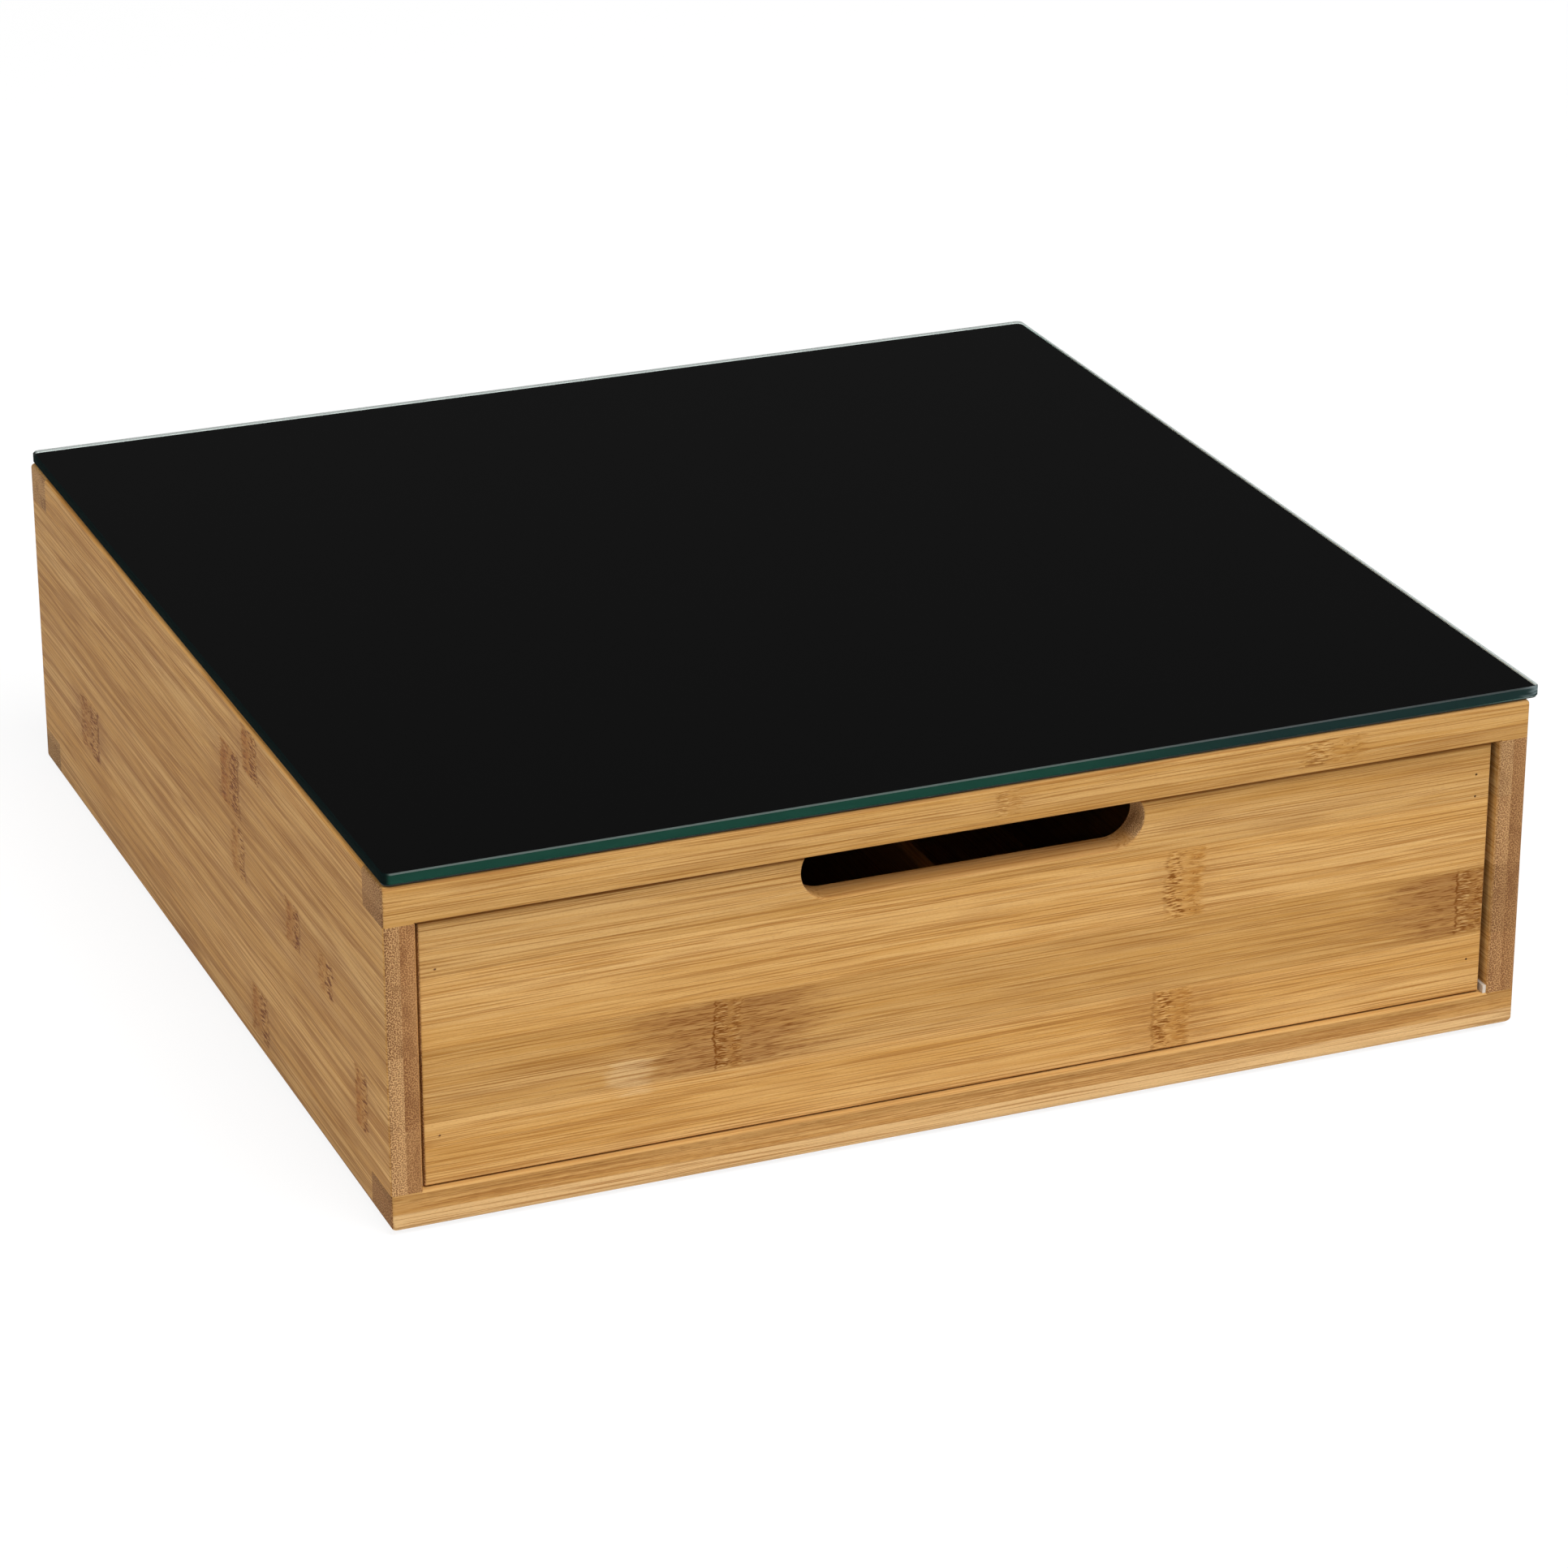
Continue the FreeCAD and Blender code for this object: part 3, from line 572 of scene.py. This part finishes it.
def dress_drawer_inside():
    for number, name in enumerate(("drawer_left_side", "drawer_right_side")):
        marks = (joint(-70.0 + 95.0 * number, 56.3), joint(62.0 - 60.0 * number, 37.4))
        seed = 53.0 + 6.0 * number
        paint(name, bamboo(name + "_bamboo", "y", seed, marks, ply_start=low_corner(name).x))
    paint("drawer_back", bamboo("drawer_back_bamboo", "x", 67.0, (joint(-40.0, 37.4),)))
    for number, name in enumerate(("left_divider", "centre_divider", "right_divider")):
        marks = (joint(-80.0 + 90.0 * number, 37.4),)
        # The dividers' darker tone is painted shade of the drawer's dark inside
        paint(name, bamboo(name + "_bamboo", "y", 71.0 + 4.0 * number, marks, tone=(0.66, 0.60, 0.55)))


def dress_panels():
    """Thin panels, faced with wider strips of a paler bamboo."""
    panels = (
        ("back_panel", "x", 83.0),
        ("bottom_panel", "flat y", 87.0),
        ("top_panel", "flat x", 91.0),
        ("drawer_bottom", "flat y", 97.0),
    )
    for name, grain, seed in panels:
        paint(name, bamboo(name + "_bamboo", grain, seed, strip=24.0, ply=1.5, tone=(1.06, 1.08, 1.12)))


# Glass, its black backing and the small parts

GLASS_IOR = 1.52
GLASS_DENSITY = 70.0
GLASS_GREEN = (0.55, 0.9, 0.78, 1.0)

# Distances in mm from the sheet's front and left edges where their painted shade begins and is full
PAINTED_SHADE_BEGINS = 2.0
PAINTED_SHADE_FULL = 0.7

# Distances in mm from its right edge where the front edge's pale painted highlight begins and is full
PAINTED_HIGHLIGHT_BEGINS = 6.9
PAINTED_HIGHLIGHT_FULL = 0.9

# Where along x, in mm, the front edge's painted shade turns from green to slate, and the front pins from
# bare to filled
PAINTED_SLATE_SHADE_BAND = (10.0, 80.0)
FILLED_PINS = (-100.0, -120.0)


def frosted_glass(graph, place, upright):
    """Clear glass with pale frosted edges, the share of its upright edges and of all that is ground."""
    ground = graph.step(upright, 0.97, 0.9)
    frost = graph.noise(place, (0.25, 0.25, 0.25))
    smear = graph.noise(place, (70.0, 40.0, 20.0))
    clear = graph.add(
        "ShaderNodeBsdfPrincipled",
        {
            "Base Color": (0.97, 0.99, 0.98, 1.0),
            "Roughness": graph.scaled(smear, 0.02, graph.times(graph.scaled(frost, 0.12, 0.28), ground)),
            "IOR": GLASS_IOR,
            "Transmission Weight": 1.0,
            "Normal": graph.bump(graph.times(frost, ground), 0.3, 0.02),
        },
    )
    milky = graph.add("ShaderNodeBsdfTranslucent", {"Color": (0.95, 0.97, 0.96, 1.0)})
    dust = graph.add("ShaderNodeBsdfDiffuse", {"Color": colour(90, 168, 140)})
    edge = graph.step(upright, 0.55, 0.35)
    frosted = graph.blend(0.08, milky.outputs[0], dust.outputs[0])
    return graph.blend(graph.times(edge, 0.93), clear.outputs[0], frosted), edge, ground


def glass():
    """Glass with a green body. Its front and left edges get painted shade: dark green at the front,
    turning slate towards the right and near black at the left, with a pale painted highlight at the right
    end.
    """
    material, graph, surface = new_material("clear_glass")
    place = graph.place()
    upright = graph.math("ABSOLUTE", graph.parts(graph.normal())[2])
    pale, edge, ground = frosted_glass(graph, place, upright)

    x, y, _ = graph.parts(place)
    low, high = (corner * PER_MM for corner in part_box("glass_top"))
    front = graph.step(y, low.y + PAINTED_SHADE_BEGINS, low.y + PAINTED_SHADE_FULL)
    left = graph.step(x, low.x + PAINTED_SHADE_BEGINS, low.x + PAINTED_SHADE_FULL)
    painted_end_highlight = graph.step(x, high.x - PAINTED_HIGHLIGHT_BEGINS, high.x - PAINTED_HIGHLIGHT_FULL)
    cloud = graph.noise(place, (6.0, 6.0, 1.2))
    # Painted shade of the front and left edges, with a pale painted highlight at the right end
    depth = graph.cover(
        graph.mix(cloud, colour(22, 58, 48), colour(30, 70, 58)),
        (
            (graph.times(graph.step(x, *PAINTED_SLATE_SHADE_BAND), 0.85), colour(26, 40, 42)),
            (graph.times(painted_end_highlight, graph.step(cloud, 0.35, 0.65)), colour(126, 140, 142)),
            (graph.times(left, 0.95), colour(10, 16, 18)),
        ),
    )
    dark = graph.add("ShaderNodeBsdfDiffuse", {"Color": depth})
    share = graph.times(graph.scaled(edge, 0.4, graph.times(ground, 0.55)), front)
    share = graph.math("MAXIMUM", share, graph.times(ground, left, 0.95))
    graph.feed(surface["Surface"], graph.blend(share, pale, dark.outputs[0]))
    body = graph.add("ShaderNodeVolumeAbsorption", {"Color": GLASS_GREEN, "Density": GLASS_DENSITY})
    graph.feed(surface["Volume"], body.outputs[0])
    return material


def plain(name, tint, spread, size, rough, bump, metallic=0.0):
    """A moulded or painted surface: its tint varies by spread over grains of that size in mm."""
    material, graph, surface = new_material(name)
    grain = graph.noise(graph.place(), size, 3.0, 0.6)
    darker = tuple(channel * (1 - spread) for channel in tint[:3]) + (1.0,)
    lighter = tuple(min(1.0, channel * (1 + spread)) for channel in tint[:3]) + (1.0,)
    shader = graph.add(
        "ShaderNodeBsdfPrincipled",
        {
            "Base Color": graph.mix(graph.step(grain, 0.3, 0.7), darker, lighter),
            "Roughness": graph.scaled(grain, 0.2, rough - 0.1),
            "Metallic": metallic,
            "Normal": graph.bump(grain, 0.4, bump),
        },
    )
    graph.feed(surface["Surface"], shader.outputs[0])
    return material


def front_pins():
    """Sunk steel pins: dark on the right, and filled with pale putty on the left."""
    material, graph, surface = new_material("filled_pin")
    place = graph.place()
    grain = graph.noise(place, (0.2, 0.2, 0.2))
    filled = graph.step(graph.parts(place)[0], *FILLED_PINS)
    dark = graph.mix(grain, colour(62, 46, 30), colour(92, 72, 50))
    putty = graph.mix(grain, colour(224, 192, 146), colour(244, 218, 176))
    shader = graph.add(
        "ShaderNodeBsdfPrincipled",
        {"Base Color": graph.mix(filled, dark, putty), "Roughness": graph.scaled(grain, 0.2, 0.5)},
    )
    graph.feed(surface["Surface"], shader.outputs[0])
    return material


def dress_small_parts():
    paint("glass_top", glass())
    paint("glass_backing", plain("black_paint", colour(16, 14, 14), 0.15, (0.6, 0.6, 0.6), 0.5, 0.01))
    foam = plain("adhesive_foam", colour(225, 225, 218), 0.06, (0.5, 0.5, 0.5), 0.6, 0.03)
    paint("glass_adhesive_pads", foam)
    strip = plain("white_glide_strip", colour(208, 196, 180), 0.03, (20.0, 0.4, 0.4), 0.4, 0.02)
    paint("left_glide_strip", strip)
    paint("right_glide_strip", strip)
    paint("anti_slip_pads", plain("grey_rubber", colour(62, 61, 60), 0.12, (0.4, 0.4, 0.4), 0.8, 0.04))
    paint("drawer_front_pins", front_pins())
    steel = plain("steel_pin", colour(96, 84, 70), 0.12, (0.2, 0.2, 2.0), 0.4, 0.01, metallic=1.0)
    paint("drawer_back_pins", steel)


# Floor, light and camera

FLOOR_REACH = 30.0
FLOOR_TINT = (0.8, 0.8, 0.8, 1.0)
SHADOW_SHARE = (0.15, 0.15, 0.15, 1.0)
FLOOR_GLOW = 0.88
WHITE = (1.0, 1.0, 1.0, 1.0)
WORLD_FILL = 0.30
DARK_CEILING = 0.045
HORIZON_BAND = (0.30, 0.14)

# Name, place, size and watts of each lamp
LAMPS = (
    ("key_softbox", (0.4, -1.15, 2.2), (1.5, 1.5), 60.0),
    ("left_softbox", (-2.2, -0.2, 1.3), (1.4, 1.4), 11.0),
)
LAMPS_AIM = Vector((0.0, 0.0, 0.05))

CAMERA_PLACE = Vector((-0.49508, -1.23657, 0.60512))
CAMERA_TARGET = Vector((0.0081, -0.0092, 0.0325))
CAMERA_LENS = 122.31
CAMERA_SENSOR = 36.0
CAMERA_CLIP_START = 0.05


def sees_background(graph):
    """1 for rays that show the background: from the camera, in a reflection or through glass."""
    path = graph.add("ShaderNodeLightPath").outputs
    return graph.most([path["Is Camera Ray"], path["Is Glossy Ray"], path["Is Transmission Ray"]])


def build_floor():
    """A floor that shows white but keeps the object's shadow."""
    bpy.ops.mesh.primitive_plane_add(size=FLOOR_REACH, location=(0.0, 0.0, 0.0))
    floor = bpy.context.object
    floor.name = "studio_floor"
    material, graph, surface = new_material("studio_white")
    light = graph.add("ShaderNodeBsdfDiffuse", {"Color": FLOOR_TINT})
    shown = graph.add("ShaderNodeBsdfDiffuse", {"Color": SHADOW_SHARE})
    glow = graph.add("ShaderNodeEmission", {"Color": WHITE, "Strength": FLOOR_GLOW})
    white = graph.add("ShaderNodeAddShader", {0: shown.outputs[0], 1: glow.outputs[0]})
    seen = graph.blend(sees_background(graph), light.outputs[0], white.outputs[0])
    graph.feed(surface["Surface"], seen)
    floor.data.materials.append(material)


def build_world():
    """White round the horizon, with a dark studio ceiling that the glass mirrors."""
    world = bpy.data.worlds.new("studio")
    bpy.context.scene.world = world
    world.use_nodes = True
    graph = Graph(world.node_tree)
    output = graph.add("ShaderNodeOutputWorld")
    height = graph.parts(graph.add("ShaderNodeTexCoord").outputs["Generated"])[2]
    camera_ray = graph.add("ShaderNodeLightPath").outputs["Is Camera Ray"]
    low = graph.scaled(graph.step(height, *HORIZON_BAND), 1.0 - DARK_CEILING, DARK_CEILING)
    low = graph.math("MAXIMUM", low, camera_ray)
    fill = graph.add("ShaderNodeBackground", {"Color": WHITE, "Strength": WORLD_FILL})
    studio = graph.add("ShaderNodeBackground", {"Color": graph.join(low, low, low), "Strength": 1.0})
    lit = graph.blend(sees_background(graph), fill.outputs[0], studio.outputs[0])
    graph.feed(output.inputs["Surface"], lit)


def aim(thing, place, target):
    thing.location = place
    thing.rotation_euler = (target - place).to_track_quat("-Z", "Y").to_euler()


def build_lamps():
    for name, place, size, power in LAMPS:
        light = bpy.data.lights.new(name, "AREA")
        light.shape = "RECTANGLE"
        light.size, light.size_y = size
        light.energy = power
        lamp = bpy.data.objects.new(name, light)
        bpy.context.scene.collection.objects.link(lamp)
        aim(lamp, Vector(place), LAMPS_AIM)


def build_camera():
    """Stands where the photograph was taken from and looks at the object, with no shift."""
    camera = bpy.data.objects.new("camera", bpy.data.cameras.new("camera"))
    bpy.context.scene.collection.objects.link(camera)
    camera.data.lens = CAMERA_LENS
    camera.data.sensor_width = CAMERA_SENSOR
    camera.data.clip_start = CAMERA_CLIP_START
    aim(camera, CAMERA_PLACE, CAMERA_TARGET)
    bpy.context.scene.camera = camera


dress_front()
dress_side_panels()
dress_rails()
dress_drawer_inside()
dress_panels()
dress_small_parts()
build_floor()
build_world()
build_lamps()
build_camera()
bpy.context.scene.view_settings.view_transform = "Standard"
